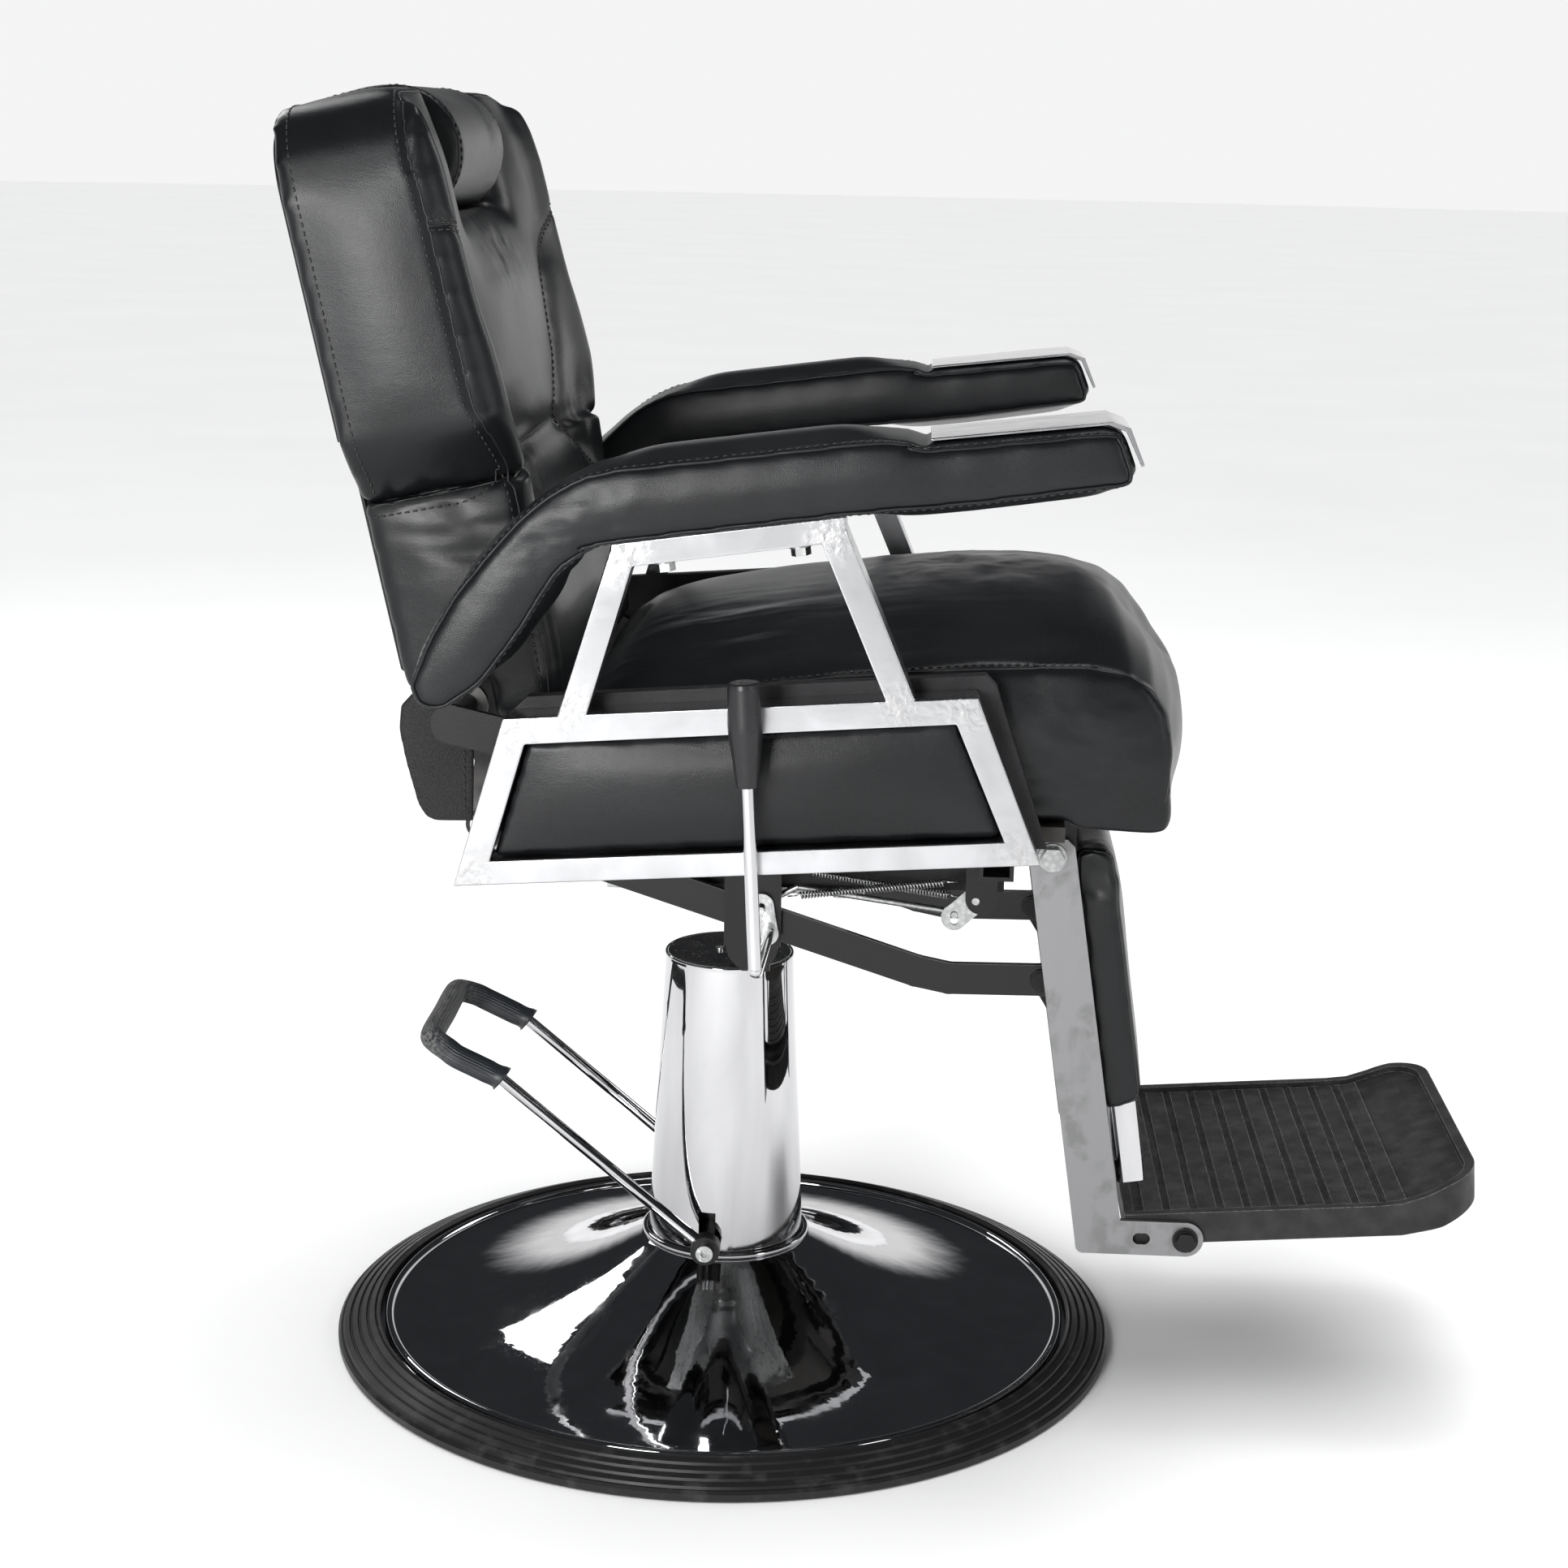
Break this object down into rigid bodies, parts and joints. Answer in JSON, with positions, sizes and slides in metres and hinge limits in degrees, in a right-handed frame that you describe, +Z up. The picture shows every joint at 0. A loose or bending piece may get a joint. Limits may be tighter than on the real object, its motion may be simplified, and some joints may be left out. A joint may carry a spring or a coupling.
{
  "type": "hydraulic barber chair",
  "caption": "Barber chair on a round pump base: lifts, swivels and reclines with a linked legrest; padded seat, arms, headrest and folding ribbed footrest.",
  "frame": {"origin": "centre of the round base's underside, on the floor", "axes": "+X forward to the footrest, +Y to the sitter's left, +Z up"},
  "size_m": [0.9253, 0.68, 1.0244],
  "materials": {
    "chrome": "mirror chrome plate",
    "ring_rubber": "satin moulded rubber with concentric ridges",
    "grip_rubber": "ribbed soft rubber",
    "cap_black": "dark gloss",
    "dark_steel": "dark oiled steel",
    "zinc": "bright zinc plate",
    "black_paint": "semi-gloss black powder coat",
    "link_gloss": "gloss black paint",
    "plywood": "raw plywood",
    "leather": "fine-grained semi-gloss black upholstery",
    "coarse_vinyl": "coarse matt black vinyl",
    "board_vinyl": "thin black vinyl over board",
    "polished_aluminium": "polished, with buffed weld corners",
    "spring_steel": "bright spring wire",
    "grip_plastic": "satin black plastic",
    "brushed_steel": "brushed stainless steel plate",
    "cast_black": "crinkled black moulding with worn edges"
  },
  "bodies": {
    "base": {"base_plate": "dark_steel", "base_dome": "chrome", "base_ring": "ring_rubber", "neck_collar": "chrome", "pump_cover": "chrome", "cap_rim": "chrome", "pump_cap": "cap_black", "cap_screw": "zinc", "pump_body": "dark_steel", "pump_bolts": "zinc"},
    "ram": {"ram": "chrome", "thrust_collar": "zinc"},
    "pedal": {"pedal_axle": "zinc", "pedal_hubs": "black_paint", "pedal_bar": "chrome", "pedal_grip": "grip_rubber", "pedal_bolts": "zinc"},
    "seat": {"swivel_hub": "black_paint", "mounting_plate": "zinc", "mounting_bolts": "zinc", "seat_subframe": "black_paint", "seat_board": "plywood", "seat_cushion": "leather", "side_frame_R": "polished_aluminium", "side_frame_L": "polished_aluminium", "side_board_R": "board_vinyl", "side_board_L": "board_vinyl", "side_panel_R": "leather", "side_panel_L": "leather", "arm_pad_R": "leather", "arm_pad_L": "leather", "arm_trim_R": "chrome", "arm_trim_L": "chrome", "arm_bolts": "zinc", "back_hinge_brackets": "black_paint", "lever_bracket": "black_paint", "cam_bracket": "black_paint", "return_springs": "spring_steel", "leg_pivot_bolts": "zinc"},
    "lever": {"lever_rod": "chrome", "lever_plate": "zinc", "lever_grip": "grip_plastic"},
    "release_rod": {"release_rod": "zinc"},
    "lock_cam": {"lock_cam": "zinc"},
    "back": {"back_board": "plywood", "back_arms": "dark_steel", "back_cushion": "leather", "back_skirt": "coarse_vinyl", "headrest_guides": "dark_steel", "link_pins": "zinc"},
    "headrest": {"headrest_posts": "chrome", "headrest": "leather"},
    "links": {"link_bars": "link_gloss"},
    "legs": {"leg_plate_R": "brushed_steel", "leg_plate_L": "brushed_steel", "leg_crossbars": "black_paint", "calf_board": "plywood", "calf_pad": "leather", "calf_posts": "chrome"},
    "footrest": {"footrest": "cast_black"}
  },
  "joints": [
    {"name": "lift", "type": "slide", "parent": "base", "child": "ram", "axis": [0, 0, 1], "range_m": [0, 0.15]},
    {"name": "swivel", "type": "hinge", "parent": "ram", "child": "seat", "pos_m": [0.013, 0, 0.4], "axis": [0, 0, 1], "continuous": true},
    {"name": "pump_pedal", "type": "hinge", "parent": "base", "child": "pedal", "pos_m": [-0.011, 0, 0.097], "axis": [0, -1, 0], "range_deg": [0, 22], "stiffness_Nm_per_rad": 6, "springref_deg": -28.65},
    {"name": "recline", "type": "hinge", "parent": "seat", "child": "back", "pos_m": [-0.186, 0, 0.57], "axis": [0, -1, 0], "range_deg": [0, 40]},
    {"name": "legrest_raise", "type": "hinge", "parent": "seat", "child": "legs", "pos_m": [0.254, 0, 0.458], "axis": [0, -1, 0], "range_deg": [0, 40]},
    {"name": "link_swing", "type": "hinge", "parent": "back", "child": "links", "pos_m": [-0.188, 0, 0.458], "axis": [0, -1, 0], "range_deg": [-40, 0]},
    {"name": "headrest_slide", "type": "slide", "parent": "back", "child": "headrest", "axis": [-0.2164, 0, 0.9763], "range_m": [0, 0.09]},
    {"name": "footrest_fold", "type": "hinge", "parent": "legs", "child": "footrest", "pos_m": [0.37, 0, 0.153], "axis": [0, -1, 0], "range_deg": [0, 80]},
    {"name": "recline_lever", "type": "hinge", "parent": "seat", "child": "lever", "pos_m": [0.039, 0, 0.388], "axis": [0, -1, 0], "range_deg": [0, 14], "stiffness_Nm_per_rad": 4, "springref_deg": -20.05},
    {"name": "release_rod_slide", "type": "slide", "parent": "seat", "child": "release_rod", "axis": [1, 0, 0], "range_m": [-0.006, 0.006]},
    {"name": "lock_cam_turn", "type": "hinge", "parent": "seat", "child": "lock_cam", "pos_m": [0.198, 0, 0.414], "axis": [0, -1, 0], "range_deg": [-25, 25]}
  ],
  "couplings": [
    {"joint": "legrest_raise", "follows": "recline", "ratio": 1},
    {"joint": "link_swing", "follows": "recline", "ratio": -1},
    {"joint": "release_rod_slide", "follows": "recline_lever", "m_per_rad": -0.015},
    {"joint": "lock_cam_turn", "follows": "recline_lever", "ratio": -1}
  ]
}
